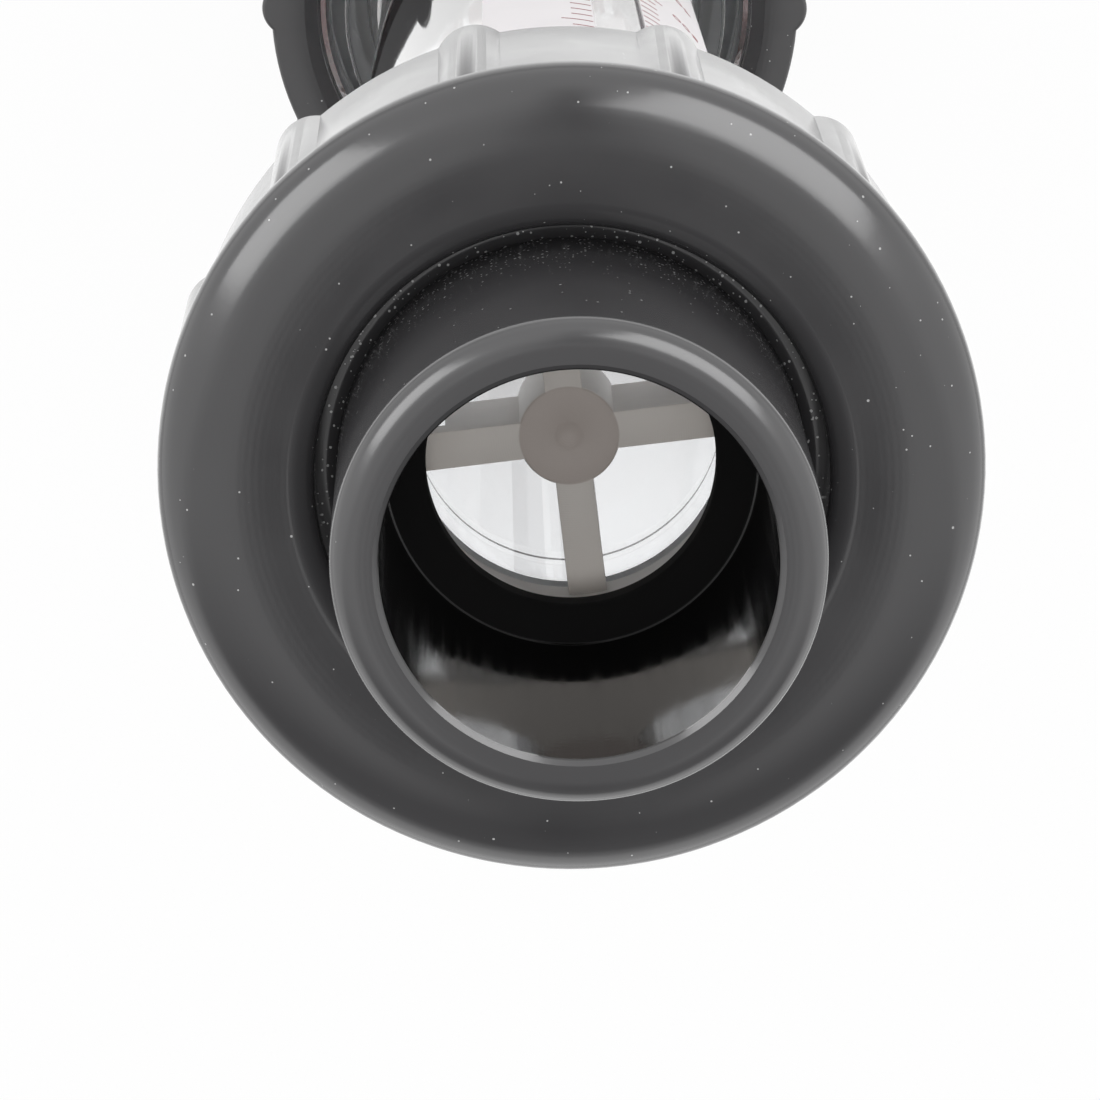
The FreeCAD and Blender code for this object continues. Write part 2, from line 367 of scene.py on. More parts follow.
# Painted shade: the thick hub is coloured darker and browner than the arms, for the less light that comes
# through it.
HUB_PAINTED_SHADE = (0.56, 0.50, 0.465, 1)


def make_active(piece):
    """Selects one piece and nothing else."""
    bpy.ops.object.select_all(action="DESELECT")
    piece.select_set(True)
    bpy.context.view_layer.objects.active = piece


def joined(name, *pieces):
    """One piece from several that are moulded together."""
    make_active(pieces[0])
    for piece in pieces[1:]:
        piece.select_set(True)
    bpy.ops.object.join()
    pieces[0].name = name
    pieces[0].data.name = name
    return pieces[0]


def put(piece, turn=0.0, at_outlet=False):
    """Turns a piece about the axis in its mesh, and first end for end if it belongs at the outlet."""
    make_active(piece)
    piece.rotation_euler = (math.pi if at_outlet else 0, 0, math.radians(turn))
    piece.location.z = cad_high.z if at_outlet else 0
    bpy.ops.object.transform_apply(location=True, rotation=True, scale=False)
    return piece


def copy_of(piece, name):
    """A second piece of the same form with a mesh of its own."""
    make_active(piece)
    bpy.ops.object.duplicate()
    made = bpy.context.active_object
    made.name = name
    made.data.name = name
    return made


def select_where(piece, test):
    """Goes into edit mode with only those points selected whose place passes the test."""
    make_active(piece)
    bpy.ops.object.mode_set(mode="EDIT")
    bpy.ops.mesh.select_all(action="DESELECT")
    bpy.ops.object.mode_set(mode="OBJECT")
    for vertex in piece.data.vertices:
        vertex.select = test(vertex.co)
    bpy.ops.object.mode_set(mode="EDIT")


def stop_arm():
    """One arm and its vane, from within the hub to the middle of the ring's wall, with the edges broken."""
    reach = stop_ring_radius - stop_ring_wall / 2
    root = hub_radius / 2
    side = [(root, arm_start), (reach, arm_start), (reach, stop_end)]
    side += [(vane_radius, stop_end), (vane_radius, vane_end), (root, vane_end)]
    start_outline(side)
    bpy.ops.mesh.edge_face_add()
    bpy.ops.mesh.extrude_region_move(TRANSFORM_OT_translate={"value": (0, arm_width_at_hub * MM, 0)})
    bpy.ops.mesh.select_all(action="SELECT")
    bpy.ops.transform.translate(value=(0, -arm_width_at_hub / 2 * MM, 0))
    bpy.ops.object.mode_set(mode="OBJECT")
    select_where(bpy.context.active_object, lambda co: co.x > (reach - NEARLY) * MM)
    wider = arm_width_at_ring / arm_width_at_hub
    bpy.ops.transform.resize(value=(1, wider, 1), center_override=(0, 0, 0))
    bpy.ops.mesh.select_all(action="SELECT")
    bpy.ops.mesh.bevel(offset=arm_edge * MM, segments=2)
    return close_mesh("arm")


def radius_of(tree, place):
    """How far a point of a piece is from the axis, in metres."""
    flat = add(tree, "ShaderNodeVectorMath", place, (1, 1, 0), settings={"operation": "MULTIPLY"})
    length = add(tree, "ShaderNodeVectorMath", flat.outputs[0], settings={"operation": "LENGTH"})
    return length.outputs["Value"]


def tool_rings(tree, place, scale, distortion=0):
    """Fine rings round the axis, as a turning tool leaves them on a flat face."""
    ways = {"wave_type": "RINGS", "rings_direction": "Z"}
    wave = add(tree, "ShaderNodeTexWave", settings=ways, Vector=place, Scale=scale, Distortion=distortion)
    return wave.outputs["Fac"]


ring_outline = [(stop_ring_inside, stop_start), (stop_ring_radius, stop_start), (stop_ring_radius, stop_end)]
ring_outline += quarter(
    (stop_ring_inside + stop_edge, stop_end),
    (stop_ring_inside, stop_end),
    (stop_ring_inside, stop_end - stop_edge),
    steps=3,
)
hub_outline = [(0, hub_start + dimple_depth)]
for angle in dimple_angles:
    hub_outline.append((dimple_radius * math.sin(angle), hub_start + dimple_depth * math.cos(angle) ** 2))
hub_outline.append((dimple_radius, hub_start))
hub_outline += quarter(
    (hub_radius - hub_edge, hub_start), (hub_radius, hub_start), (hub_radius, hub_start + hub_edge), steps=4
)
hub_outline += [(hub_radius, hub_end - hub_edge), (hub_radius - hub_edge, hub_end), (0, hub_end)]
arms = [stop_arm()]
for index in range(1, arm_count):
    arms.append(put(copy_of(arms[0], "arm"), turn=360 * index / arm_count))
stop_ring = lathe("ring", ring_outline, steps=120)
stop_hub = lathe("hub", hub_outline, steps=72)
inlet_stop = joined("moulded_inlet_stop", stop_ring, stop_hub, *arms)
outlet_stop = put(copy_of(inlet_stop, "moulded_outlet_stop"), turn=outlet_stop_turn, at_outlet=True)
put(inlet_stop, turn=inlet_stop_turn)

ivory_plastic, tree, shader, place = finish("ivory_plastic", Roughness=0.42)
flow = noise(tree, place, scale=700, detail=4)
radius = radius_of(tree, place)
from_middle = from_half_height(tree, place)
arm_face = half_height - arm_start * MM
ring_edge = stop_ring_inside * MM
# Painted shade: within the hub's radius the stop takes the darker hub colour, for the less light that passes
# through the thicker plastic.
hub = remap(tree, radius, hub_shade_full * MM, hub_shade_end * MM, 1, 0)
front_face = remap(tree, from_middle, arm_face - 2 * MASK_EDGE, arm_face - MASK_EDGE, 0, 1)
within = remap(tree, radius, ring_edge - 2 * MASK_EDGE, ring_edge - MASK_EDGE, 1, 0)
moulded = between(tree, flow, STOP_IVORY, STOP_SHADE)
# Painted shade: the front faces of the arms and hub within the ring take a darker ivory than the rest of the
# stop.
front_shaded = between(tree, maths(tree, "MULTIPLY", front_face, within), moulded, FRONT_PAINTED_SHADE)
tree.links.new(between(tree, hub, front_shaded, HUB_PAINTED_SHADE), shader.inputs["Base Color"])
rings = tool_rings(tree, place, scale=1500, distortion=0.3)
turned = add(tree, "ShaderNodeBump", Height=rings, Strength=0.25, Distance=0.02 * MM)
tree.links.new(turned.outputs[0], shader.inputs["Normal"])
dress(inlet_stop, ivory_plastic, "stop_plastic", "meter_body", "inlet_float_stop")
dress(outlet_stop, ivory_plastic, "stop_plastic", "meter_body", "outlet_float_stop")

# O-rings
# A black rubber ring lies in the groove of each connector's collar. The union
# nut presses it flat between the collar and the end of the tube.
seal_low, seal_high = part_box("inlet_o_ring")
seal_start = seal_low.z / MM
seal_end = seal_high.z / MM
seal_outer = seal_high.x / MM
seal_width = 3.3
seal_inner = seal_outer - seal_width
RUBBER_BLACK = (0.012, 0.012, 0.012, 1)
RUBBER_GREY = (0.030, 0.030, 0.031, 1)

middle = (seal_start + seal_end) / 2
bulge = (seal_end - seal_start) / 2
seal_outline = quarter((seal_outer - bulge, seal_start), (seal_outer, seal_start), (seal_outer, middle))
seal_outline += quarter((seal_outer, middle), (seal_outer, seal_end), (seal_outer - bulge, seal_end))[1:]
seal_outline += quarter((seal_inner + bulge, seal_end), (seal_inner, seal_end), (seal_inner, middle))
seal_outline += quarter(
    (seal_inner, middle), (seal_inner, seal_start), (seal_inner + bulge, seal_start)
)[1:]
inlet_seal = lathe("inlet_seal_ring", seal_outline, steps=120)
outlet_seal = put(copy_of(inlet_seal, "outlet_seal_ring"), at_outlet=True)

rubber, tree, shader, place = finish("black_rubber", Roughness=0.6)
bloom = noise(tree, place, scale=500, detail=5)
tree.links.new(between(tree, bloom, RUBBER_BLACK, RUBBER_GREY), shader.inputs["Base Color"])
dress(inlet_seal, rubber, "seal_rubber", "meter_body", "inlet_o_ring")
dress(outlet_seal, rubber, "seal_rubber", "meter_body", "outlet_o_ring")

# Pipe connectors
# A socket for a plastic pipe at each end, moulded in dark grey PVC and turned
# on its faces. A lip stops the pipe, and the collar behind it is what the
# union nut pulls against the tube. Fine dust lies on the plastic.
NOISE_LOW = 0.3
NOISE_HIGH = 0.7
connector_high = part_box("inlet_connector")[1]
connector_radius = 20.1
mouth_rounding = 2.2
mouth_chamfer = 0.5
mouth_face = 0.6
mouth_gloss = 0.2
socket_radius = frame["record"]["mounts"][0]["dims"]["r_mm"]
socket_depth = 35.6
socket_gloss_low = 0.04
socket_gloss_high = 0.12
socket_score_depth = 0.25
lip_hole_radius = 12.55
lip_thickness = 2.5
lip_end = socket_depth + lip_thickness
lip_rounding = 0.5
lip_gloss = 1.0
collar_end = connector_high.z / MM
collar_length = 9.0
collar_start = collar_end - collar_length
collar_radius = connector_high.x / MM
collar_root = 1.0
groove_depth = 2.6
groove_floor = collar_end - groove_depth
groove_play = 0.15
groove_inner = seal_inner - groove_play
groove_outer = seal_outer + groove_play
dust_start = 15.0
dust_full = 31.0
dust_size = 0.45
PVC_DARK = (0.040, 0.039, 0.041, 1)
PVC_LIGHT = (0.048, 0.047, 0.049, 1)
MOUTH_GREY = (0.057, 0.056, 0.058, 1)
# Painted shade: the same grey PVC coloured near black inside the socket, where little light reaches down the
# bore.
BORE_PAINTED_SHADE = (0.005, 0.0048, 0.005, 1)
DUST_WHITE = (0.45, 0.45, 0.45, 1)

connector_outline = quarter(
    (connector_radius - mouth_rounding, 0),
    (connector_radius, 0),
    (connector_radius, mouth_rounding),
    steps=12,
)
connector_outline += quarter(
    (connector_radius, collar_start - collar_root),
    (connector_radius, collar_start),
    (connector_radius + collar_root, collar_start),
)
connector_outline += [(collar_radius, collar_start), (collar_radius, collar_end)]
connector_outline += [(groove_outer, collar_end), (groove_outer, groove_floor)]
connector_outline += [(groove_inner, groove_floor), (groove_inner, collar_end)]
connector_outline += [(stop_seat_radius, collar_end), (stop_seat_radius, lip_end)]
connector_outline += [(lip_hole_radius, lip_end)]
connector_outline += quarter(
    (lip_hole_radius, socket_depth + lip_rounding),
    (lip_hole_radius, socket_depth),
    (lip_hole_radius + lip_rounding, socket_depth),
)
connector_outline += [(socket_radius, socket_depth), (socket_radius, mouth_chamfer)]
connector_outline += [(socket_radius + mouth_chamfer, 0)]
inlet_connector = lathe("moulded_inlet_connector", connector_outline)
outlet_connector = put(copy_of(inlet_connector, "moulded_outlet_connector"), at_outlet=True)


def new_group(name, inputs, outputs):
    """An empty node group with named sockets, its inputs' outlets and its outputs' inlets."""
    group = bpy.data.node_groups.new(name, "ShaderNodeTree")
    for way, sockets in (("INPUT", inputs), ("OUTPUT", outputs)):
        for socket, kind in sockets.items():
            group.interface.new_socket(socket, in_out=way, socket_type="NodeSocket" + kind)
    return group, group.nodes.new("NodeGroupInput").outputs, group.nodes.new("NodeGroupOutput").inputs


def use(tree, group, **values):
    """Places a node group in a material with its own values."""
    return add(tree, "ShaderNodeGroup", settings={"node_tree": group}, **values).outputs


# Moulded plastic: a slight mottle of two greys, uneven gloss and a fine skin
moulded_skin, given, put_out = new_group(
    "moulded_skin",
    {"Vector": "Vector", "Dark": "Color", "Light": "Color", "Gloss": "Float"},
    {"Colour": "Color", "Roughness": "Float", "Height": "Float"},
)
mottle = noise(moulded_skin, given["Vector"], scale=90, detail=4)
skin = noise(moulded_skin, given["Vector"], scale=1800, detail=3)
moulded_skin.links.new(between(moulded_skin, mottle, given["Dark"], given["Light"]), put_out["Colour"])
spread = remap(moulded_skin, mottle, NOISE_LOW, NOISE_HIGH, -0.02, 0.04)
moulded_skin.links.new(maths(moulded_skin, "ADD", given["Gloss"], spread), put_out["Roughness"])
moulded_skin.links.new(skin, put_out["Height"])

# Dust: pale specks of many sizes, of which most are fine
dust, given, put_out = new_group(
    "dust", {"Vector": "Vector", "Scale": "Float", "Size": "Float"}, {"Mask": "Float"}
)
cells = add(dust, "ShaderNodeTexVoronoi", Vector=given["Vector"], Scale=given["Scale"]).outputs
odds = add(dust, "ShaderNodeSeparateColor", cells["Color"]).outputs["Red"]
reach = maths(dust, "MULTIPLY", maths(dust, "POWER", odds, 4.0), given["Size"])
dust.links.new(maths(dust, "LESS_THAN", cells["Distance"], reach), put_out["Mask"])


def dark_pvc(name, ring_scale):
    """Dark grey moulded plastic with dust and, on its flat faces, the rings of a turning tool."""
    made, tree, shader, place = finish(name, IOR=1.54)
    skin = use(tree, moulded_skin, Vector=place, Dark=PVC_DARK, Light=PVC_LIGHT, Gloss=0.17)
    specks = use(tree, dust, Vector=place, Scale=1100, Size=0.13)["Mask"]
    tree.links.new(between(tree, specks, skin["Colour"], DUST_WHITE), shader.inputs["Base Color"])
    tree.links.new(skin["Roughness"], shader.inputs["Roughness"])
    rings = tool_rings(tree, place, ring_scale)
    turned = add(tree, "ShaderNodeBump", Height=rings, Strength=0.05, Distance=0.02 * MM).outputs[0]
    grain = add(
        tree, "ShaderNodeBump", Height=skin["Height"], Strength=0.1, Distance=0.03 * MM, Normal=turned
    )
    tree.links.new(grain.outputs[0], shader.inputs["Normal"])
    return made, tree, shader, place


def feeding(shader, socket):
    """The output that feeds a socket of a shader so far."""
    return shader.inputs[socket].links[0].from_socket


connector_pvc, tree, shader, place = dark_pvc("connector_pvc", ring_scale=700)
radius = radius_of(tree, place)
from_middle = from_half_height(tree, place)
socket_wall = socket_radius * MM
inside = remap(tree, radius, socket_wall + MASK_EDGE, socket_wall + 3 * MASK_EDGE, 1, 0)
mouth = remap(tree, from_middle, half_height - 2 * mouth_face * MM, half_height - mouth_face * MM, 0, 1)
dust_free = half_height - dust_start * MM
dust_thick = half_height - dust_full * MM
near_nut = remap(tree, from_middle, dust_free, dust_thick, 0, dust_size)
specks = use(tree, dust, Vector=place, Scale=3000, Size=near_nut)["Mask"]
moulded = between(tree, specks, feeding(shader, "Base Color"), DUST_WHITE)
turned = between(tree, mouth, moulded, MOUTH_GREY)
# Painted shade: inside the socket, lip and lip hole the plastic is coloured near black.
tree.links.new(between(tree, inside, turned, BORE_PAINTED_SHADE), shader.inputs["Base Color"])
lengthwise = add(tree, "ShaderNodeMapping", place, Scale=(900, 900, 25)).outputs[0]
streaks = noise(tree, lengthwise, scale=1, detail=3)
polished = remap(tree, streaks, NOISE_LOW, NOISE_HIGH, socket_gloss_low, socket_gloss_high)
bored = remap(tree, radius, socket_wall - 3 * MASK_EDGE, socket_wall - MASK_EDGE, lip_gloss, polished)
outer = remap(tree, mouth, 0, 1, feeding(shader, "Roughness"), mouth_gloss)
tree.links.new(remap(tree, inside, 0, 1, outer, bored), shader.inputs["Roughness"])
depth = remap(tree, inside, 0, 1, 0, socket_score_depth)
scored = add(
    tree,
    "ShaderNodeBump",
    Height=streaks,
    Strength=depth,
    Distance=0.02 * MM,
    Normal=feeding(shader, "Normal"),
)
tree.links.new(scored.outputs[0], shader.inputs["Normal"])
dress(inlet_connector, connector_pvc, "dark_pvc", "meter_body", "inlet_connector")
dress(outlet_connector, connector_pvc, "dark_pvc", "meter_body", "outlet_connector")

# Union nuts
# Moulded in the same dark grey PVC, with a thick rounded rim at the front, a
# plain skirt with twelve round-backed grip lugs, and a thread inside. Each nut
# hooks over a connector's collar and screws onto the tube.
nut_low, nut_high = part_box("inlet_union_nut")
nut_start = nut_low.z / MM
nut_end = nut_high.z / MM
nut_hole_radius = 21.95
nut_hole_rounding = 2.4
rim_radius = nut_high.x / MM
rim_width = 7.2
rim_height = 4.6
rim_top = nut_start + rim_height
rim_band = 0.8
rim_back = rim_top + rim_band
rim_edge = 0.3
skirt_radius = 34.05
skirt_root = 0.2
skirt_end_rounding = 0.6
nut_bore_radius = 28.15
nut_mouth_chamfer = 1.6
nut_thread_depth = 1.0
nut_thread_start = collar_end + 1.0
lug_count = 12
lug_height = 1.2
lug_width = 5.6
lug_steps = 16
plain_steps = 4
inlet_nut_turn = 20.0
outlet_nut_turn = 5.0

nut_thread = thread_ridges(
    nut_bore_radius, nut_bore_radius + nut_thread_depth, nut_thread_start, nut_end - nut_mouth_chamfer
)
nut_outline = quarter(
    (nut_hole_radius, nut_start + nut_hole_rounding),
    (nut_hole_radius, nut_start),
    (nut_hole_radius + nut_hole_rounding, nut_start),
)
nut_outline += quarter(
    (rim_radius - rim_width, nut_start), (rim_radius, nut_start), (rim_radius, rim_top), steps=16
)
nut_outline += [(rim_radius, rim_back - rim_edge), (rim_radius - rim_edge, rim_back)]
nut_outline += [(skirt_radius + skirt_root, rim_back), (skirt_radius, rim_back + skirt_root)]
nut_outline += quarter(
    (skirt_radius, nut_end - skirt_end_rounding),
    (skirt_radius, nut_end),
    (skirt_radius - skirt_end_rounding, nut_end),
    steps=5,
)
nut_outline += [(nut_bore_radius + nut_mouth_chamfer, nut_end)]
nut_outline += list(reversed(nut_thread))
nut_outline += [(nut_bore_radius, collar_start), (nut_hole_radius, collar_start)]

# One twelfth of the nut is turned, with the lug in its middle drawn out step by step
sector = FULL_TURN / lug_count
half_lug = math.asin(lug_width / 2 / skirt_radius)
plain = sector / 2 - half_lug
lug_rise = skirt_radius + lug_height - skirt_radius * math.cos(half_lug)
lug_back = ((lug_width / 2) ** 2 + lug_rise**2) / (2 * lug_rise)
lug_centre = skirt_radius + lug_height - lug_back
start_outline(nut_outline)
spin(plain, plain_steps)
spin(2 * half_lug, lug_steps)
spin(plain, plain_steps)
bpy.ops.object.mode_set(mode="OBJECT")
inlet_nut = bpy.context.active_object


def draw_out(turn, shift, lowest, highest, innermost):
    """Moves the skirt's points at one turn from a lug's middle, between two heights, outwards."""
    angle = sector / 2 + turn

    def on_column(co):
        radius = math.hypot(co.x, co.y) / MM
        on_rows = lowest < co.z / MM < highest
        on_skirt = innermost - NEARLY < radius < skirt_radius + skirt_root + NEARLY
        return on_rows and on_skirt and abs(math.atan2(co.y, co.x) - angle) < half_lug / lug_steps / 4

    select_where(inlet_nut, on_column)
    outwards = Vector((math.cos(angle), math.sin(angle), 0))
    bpy.ops.transform.translate(value=outwards * shift * MM)
    bpy.ops.object.mode_set(mode="OBJECT")


root_middle = rim_back + skirt_root / 2
root_room = rim_radius - rim_edge - skirt_radius - skirt_root
for step in range(1, lug_steps):
    turn = 2 * half_lug * step / lug_steps - half_lug
    back = lug_centre * math.cos(turn) + math.sqrt(lug_back**2 - (lug_centre * math.sin(turn)) ** 2)
    shift = back - skirt_radius
    root_shift = min(shift, root_room)
    draw_out(turn, shift, root_middle, nut_end + NEARLY, skirt_radius - skirt_end_rounding)
    draw_out(turn, root_shift, rim_back - skirt_root / 2, root_middle, skirt_radius + skirt_root / 2)
bpy.ops.object.mode_set(mode="EDIT")
bpy.ops.mesh.select_all(action="SELECT")
for index in range(1, lug_count):
    bpy.ops.mesh.duplicate()
    bpy.ops.transform.rotate(value=sector, orient_axis="Z", center_override=(0, 0, 0))
close_mesh("moulded_inlet_nut")
put(inlet_nut, turn=math.degrees(sector / 2))
outlet_nut = put(copy_of(inlet_nut, "moulded_outlet_nut"), turn=outlet_nut_turn, at_outlet=True)
put(inlet_nut, turn=inlet_nut_turn)

nut_pvc = dark_pvc("nut_pvc", ring_scale=500)[0]
dress(inlet_nut, nut_pvc, "dark_pvc", "inlet_nut", "inlet_union_nut")
dress(outlet_nut, nut_pvc, "dark_pvc", "outlet_nut", "outlet_union_nut")

# Scale film
# A clear plastic film stuck round the front of the tube and printed white, but
# for a window in the middle that shows the float. Dark red graduation lines
# stand on both sides of the window, with plain numbers beside the left ones.
film_low, film_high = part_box("scale_film")
film_start = film_low.z / MM
film_end = film_high.z / MM
film_glue = 0.15
film_thickness = 0.2
film_angle = math.radians(80)
film_steps = 48
front = math.radians(-90)
window_angle = math.radians(16)
window_margin = 5.0
window_fade = 0.1
window_fade_angle = 0.005
window_haze = 0.05
scale_margin = 14.0
scale_start = film_start + scale_margin
scale_end = film_end - scale_margin
first_number = 100
last_number = 1000
number_step = 100
number_height = 3.0
number_angle = math.radians(10)
number_standoff = 3.0
lines_per_number = 5
line_thickness = 0.3
line_steps = 8
line_gap_angle = math.radians(0.5)
long_line_angle = math.radians(9)
short_line_angle = math.radians(6)
ink_thickness = 0.03
FILM_WHITE = (0.72, 0.685, 0.70, 1)
FILM_SHADE = (0.66, 0.63, 0.645, 1)
INK_RED = (0.20, 0.018, 0.025, 1)
INK_FADED = (0.27, 0.035, 0.040, 1)

cone_low = shoulder_end + shoulder_root
cone_high = total_length - cone_low
slope = (tube_radius_outlet - tube_radius_inlet) / (cone_high - cone_low)


def film_inside(height):
    """The radius of the film's inner face at a height."""
    return tube_radius_inlet + slope * (height - cone_low) + film_glue


def arc_strip(name, low, high, inside, outside, start_angle, angle, steps):
    """A strip wrapped part of the way round the tube, with its ends closed."""
    start_outline(
        [
            (film_inside(low) + inside, low),
            (film_inside(low) + outside, low),
            (film_inside(high) + outside, high),
            (film_inside(high) + inside, high),
        ]
    )
    spin(angle, steps)
    bpy.ops.mesh.select_all(action="SELECT")
    bpy.ops.mesh.fill_holes(sides=4)
    return put(close_mesh(name), turn=math.degrees(start_angle))


film_turn = front - film_angle / 2
film = arc_strip(
    "printed_film_base", film_start, film_end, 0, film_thickness, film_turn, film_angle, film_steps
)

white_film, tree, shader, place = finish("white_film", Roughness=0.35)
cloud = noise(tree, place, scale=120, detail=3)
tree.links.new(between(tree, cloud, FILM_WHITE, FILM_SHADE), shader.inputs["Base Color"])
along = add(tree, "ShaderNodeSeparateXYZ", place).outputs
from_front = apart(tree, maths(tree, "ARCTAN2", along["Y"], along["X"]), front)
half_window = window_angle / 2
beside = remap(tree, from_front, half_window - window_fade_angle, half_window + window_fade_angle, 0, 1)
from_scale = apart(tree, along["Z"], (scale_start + scale_end) / 2 * MM)
window_end = (scale_end - scale_start) / 2 + window_margin
beyond = remap(tree, from_scale, (window_end - window_fade) * MM, (window_end + window_fade) * MM, 0, 1)
white = remap(tree, maths(tree, "MAXIMUM", beside, beyond), 0, 1, window_haze, 1)
tree.links.new(white, shader.inputs["Alpha"])
dress(film, white_film, "scale_film", "meter_body", "scale_film")

line_count = (last_number - first_number) // number_step * lines_per_number
line_pitch = (scale_end - scale_start) / line_count


def line_column(name, start_angle, angle, indices):
    """One column of lines of one length: the first is made and the others are copied up the cone."""
    height = scale_start + indices[0] * line_pitch
    column = arc_strip(
        name,
        height - line_thickness / 2,
        height + line_thickness / 2,
        film_thickness - ink_thickness,
        film_thickness + ink_thickness,
        start_angle,
        angle,
        line_steps,
    )
    make_active(column)
    bpy.ops.object.mode_set(mode="EDIT")
    bpy.ops.mesh.select_all(action="SELECT")
    for index in indices[1:]:
        next_height = scale_start + index * line_pitch
        wider = (film_inside(next_height) + film_thickness) / (film_inside(height) + film_thickness)
        bpy.ops.mesh.duplicate()
        bpy.ops.transform.translate(value=(0, 0, (next_height - height) * MM))
        bpy.ops.transform.resize(value=(wider, wider, 1), center_override=(0, 0, 0))
        height = next_height
    bpy.ops.object.mode_set(mode="OBJECT")
    return column


def printed_number(value, angle):
    """A number laid on the film beside its line, with the thickness of the ink."""
    height = scale_start + (value - first_number) / number_step * lines_per_number * line_pitch
    off = (film_inside(height) + number_standoff) * MM
    bpy.ops.object.select_all(action="DESELECT")
    bpy.ops.object.text_add()
    number = bpy.context.active_object
    number.data.body = str(value)
    number.data.size = number_height * MM
    number.data.align_x = "CENTER"
    number.data.align_y = "CENTER"
    bpy.ops.object.convert(target="MESH")
    number.rotation_euler = (math.pi / 2, 0, angle + math.pi / 2)
    number.location = (off * math.cos(angle), off * math.sin(angle), height * MM)
    wrap = number.modifiers.new("wrap", "SHRINKWRAP")
    wrap.target = film
    wrap.wrap_method = "PROJECT"
    wrap.use_project_z = True
    wrap.use_positive_direction = False
    wrap.use_negative_direction = True
    wrap.offset = ink_thickness * MM
    bpy.ops.object.modifier_apply(modifier=wrap.name)
    ink = number.modifiers.new("ink", "SOLIDIFY")
    ink.thickness = ink_thickness * MM
    ink.offset = -1
    bpy.ops.object.modifier_apply(modifier=ink.name)
    bpy.ops.object.transform_apply(location=True, rotation=True, scale=True)
    return number


every_line = range(line_count + 1)
long_lines = [index for index in every_line if index % lines_per_number == 0]
short_lines = [index for index in every_line if index % lines_per_number]
lines_right = front + window_angle / 2 + line_gap_angle
lines_left = front - window_angle / 2 - line_gap_angle
numbers_left = lines_left - long_line_angle - number_angle
print_pieces = [
    line_column("long_lines_right", lines_right, long_line_angle, long_lines),
    line_column("short_lines_right", lines_right, short_line_angle, short_lines),
    line_column("long_lines_left", lines_left - long_line_angle, long_line_angle, long_lines),
    line_column("short_lines_left", lines_left - short_line_angle, short_line_angle, short_lines),
]
for value in range(first_number, last_number + 1, number_step):
    print_pieces.append(printed_number(value, numbers_left))
scale_print = joined("printed_scale", *print_pieces)

red_ink, tree, shader, place = finish("red_ink", Roughness=0.4)
cover = noise(tree, place, scale=900, detail=2)
tree.links.new(between(tree, cover, INK_RED, INK_FADED), shader.inputs["Base Color"])
dress(scale_print, red_ink, "scale_film", "meter_body")

# Floor, light and camera
# A white studio with an even soft light and a small lamp over the outlet. In the
# gloss stand pale walls, a softbox at each upper corner of the picture, a white
# card on the floor and a dark gap overhead, where the camera looks down.
floor_size = 1.0
floor_glow = 0.94
FLOOR_WHITE = (0.9, 0.9, 0.9, 1)
picture_width = 1100
focal_pixels = 5662
sensor_width = 36.0
picture_up_angle = math.radians(-70)
camera_above = 0.4383
camera_along_up = 0.1134
camera_along_right = -0.0094
camera_tilt = math.radians(14.33)
camera_pan = math.radians(0.89)
lamp_distance = 0.9
fill_along_up = 0.12
fill_above = 1.1
card_along_up = 0.1
card_above = 0.002

up = Vector((math.cos(picture_up_angle), math.sin(picture_up_angle), 0))
right = Vector((up.y, -up.x, 0))
above = Vector((0, 0, 1))
outlet_mouth = above * cad_high.z


def seen(tree, *kinds):
    """One where a ray is of one of the kinds, and else nought."""
    path = add(tree, "ShaderNodeLightPath").outputs
    found = path[kinds[0]]
    for kind in kinds[1:]:
        found = maths(tree, "MAXIMUM", found, path[kind])
    return found


bpy.ops.object.select_all(action="DESELECT")
bpy.ops.mesh.primitive_plane_add(size=floor_size)
floor = bpy.context.active_object
floor.name = "studio_floor"
floor_paint, tree, shader, place = finish("floor_paint", Base_Color=FLOOR_WHITE, Roughness=0.9)
glow = add(tree, "ShaderNodeEmission", Strength=1.0)
shown = seen(tree, "Is Camera Ray", "Is Glossy Ray", "Is Transmission Ray")
share = remap(tree, shown, 0, 1, 0, floor_glow)
mixed = add(tree, "ShaderNodeMixShader", share, shader.outputs[0], glow.outputs[0])
tree.links.new(mixed.outputs[0], tree.nodes["Material Output"].inputs["Surface"])
floor.data.materials.append(floor_paint)

# The room's places are parts of a unit direction: its height, and how far it points
# backwards, to the top of the picture, and sideways, to the picture's right
soft_front, soft_back = 0.65, 1.05
wall_bright = 1.7
wall_front, wall_front_top = -0.55, 0.25
wall_back, wall_back_top = 0.0, 0.92
wall_fade = 0.25
ceiling_front, ceiling_dark = -0.7, 0.3
ceiling_back, ceiling_dim = -0.3, 1.3
gap_middle = 0.02
gap_dark_end, gap_dark = 0.02, 0.02
gap_fade_end = 0.10
gap_low, gap_high = 0.3, 0.7


def part_along(tree, way, axis):
    """How much of a direction runs along an axis."""
    product = add(tree, "ShaderNodeVectorMath", way, tuple(axis), settings={"operation": "DOT_PRODUCT"})
    return product.outputs["Value"]


world = bpy.data.worlds.new("studio")
world.use_nodes = True
bpy.context.scene.world = world
tree = world.node_tree
sky = tree.nodes["Background"]
sky.inputs["Color"].default_value = (1, 1, 1, 1)
way = add(tree, "ShaderNodeTexCoord").outputs["Generated"]
height = add(tree, "ShaderNodeSeparateXYZ", way).outputs["Z"]
backwards = part_along(tree, way, up)
soft = remap(tree, backwards, -1, 1, soft_front, soft_back)
wall_top = remap(tree, backwards, wall_front, wall_back, wall_front_top, wall_back_top)
ceiling = remap(tree, backwards, ceiling_front, ceiling_back, ceiling_dark, ceiling_dim)
room = remap(tree, maths(tree, "SUBTRACT", wall_top, height), 0, wall_fade, ceiling, wall_bright)
from_gap = apart(tree, part_along(tree, way, right), gap_middle)
gap = remap(tree, from_gap, gap_dark_end, gap_fade_end, gap_dark, 1)
overhead = remap(tree, height, gap_low, gap_high, 1, gap)
mirrored = maths(tree, "MULTIPLY", room, overhead)
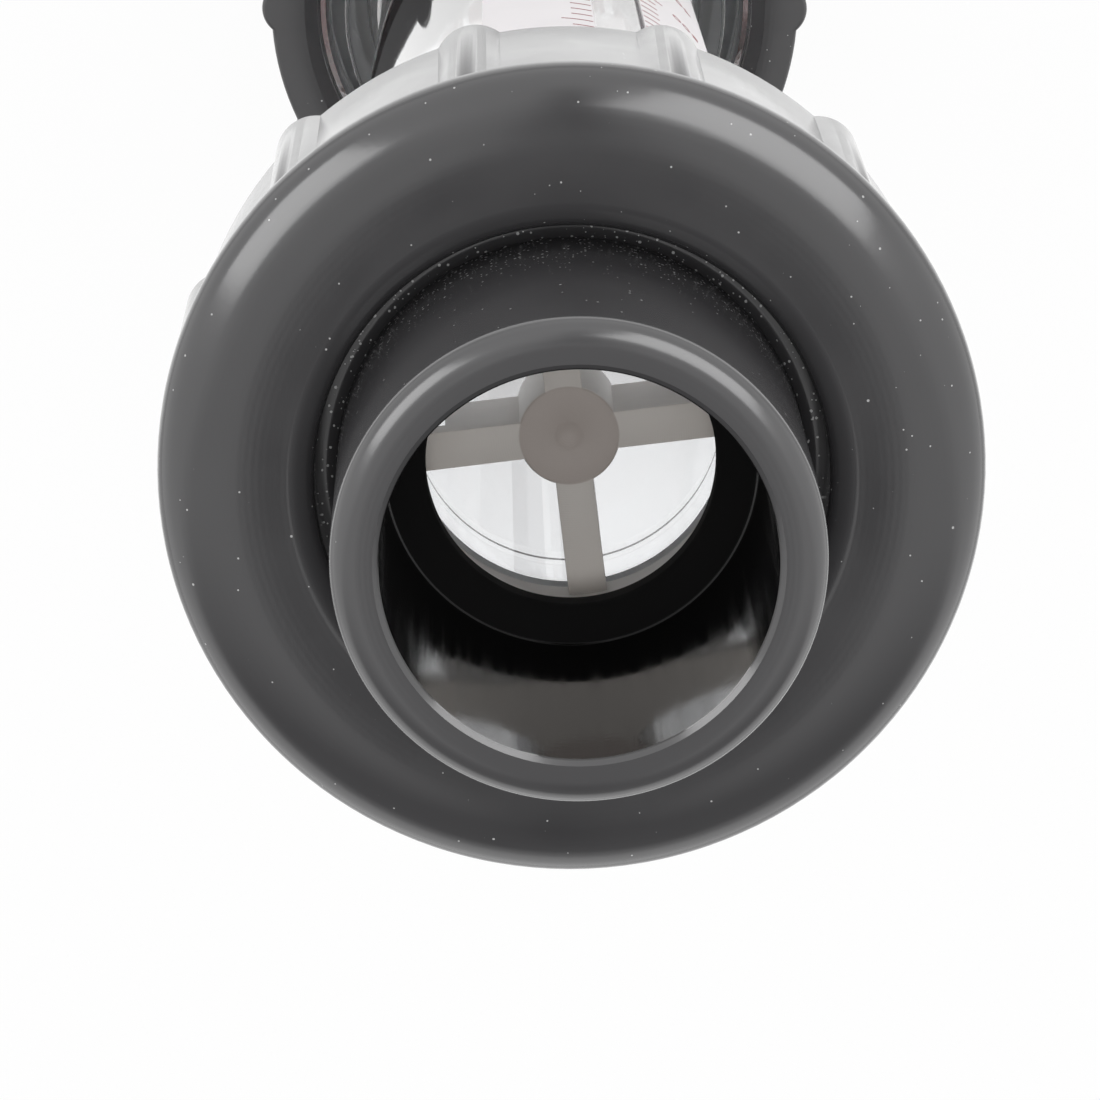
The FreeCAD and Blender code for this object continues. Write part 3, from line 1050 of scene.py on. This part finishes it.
strength = remap(tree, seen(tree, "Is Glossy Ray"), 0, 1, soft, mirrored)
strength = remap(tree, seen(tree, "Is Camera Ray", "Is Transmission Ray"), 0, 1, strength, 1)
tree.links.new(strength, sky.inputs["Strength"])


def softbox(name, place, facing, width, height, power):
    """A soft rectangular light at a place, which shines the way it faces."""
    bpy.ops.object.light_add(type="AREA", location=place)
    lamp = bpy.context.active_object
    lamp.name = name
    lamp.rotation_euler = (-facing).to_track_quat("Z", "Y").to_euler()
    lamp.data.shape = "RECTANGLE"
    lamp.data.size = width
    lamp.data.size_y = height
    lamp.data.energy = power
    return lamp


to_left = up * 0.513 - right * 0.746 + above * 0.40
to_right = up * 0.692 + right * 0.521 + above * 0.50
left_place = outlet_mouth + to_left * lamp_distance
right_place = outlet_mouth + to_right * lamp_distance
fill_place = outlet_mouth + up * fill_along_up + above * fill_above
card_place = up * card_along_up + above * card_above
left_lamp = softbox("left_light", left_place, -to_left, width=0.50, height=0.62, power=5.2)
right_lamp = softbox("right_light", right_place, -to_right, width=0.68, height=0.73, power=8.0)
fill = softbox("fill_light", fill_place, -above, width=0.3, height=0.3, power=2.9)
card = softbox("floor_card", card_place, above, width=0.6, height=0.54, power=0.48)
fill.visible_glossy = False
card.visible_camera = False
card.visible_transmission = False
for lamp in (left_lamp, right_lamp, card):
    lamp.visible_diffuse = False

camera_place = outlet_mouth + above * camera_above + up * camera_along_up + right * camera_along_right
bpy.ops.object.camera_add(location=camera_place)
camera = bpy.context.active_object
forward = -above * math.cos(camera_tilt) - up * math.sin(camera_tilt)
camera_up = up * math.cos(camera_tilt) - above * math.sin(camera_tilt)
forward = (forward * math.cos(camera_pan) + right * math.sin(camera_pan)).normalized()
camera_right = forward.cross(camera_up).normalized()
camera.rotation_euler = Matrix((camera_right, camera_up, -forward)).transposed().to_euler()
camera.data.sensor_width = sensor_width
camera.data.lens = focal_pixels / picture_width * sensor_width
bpy.context.scene.camera = camera
bpy.context.scene.view_settings.view_transform = "Standard"
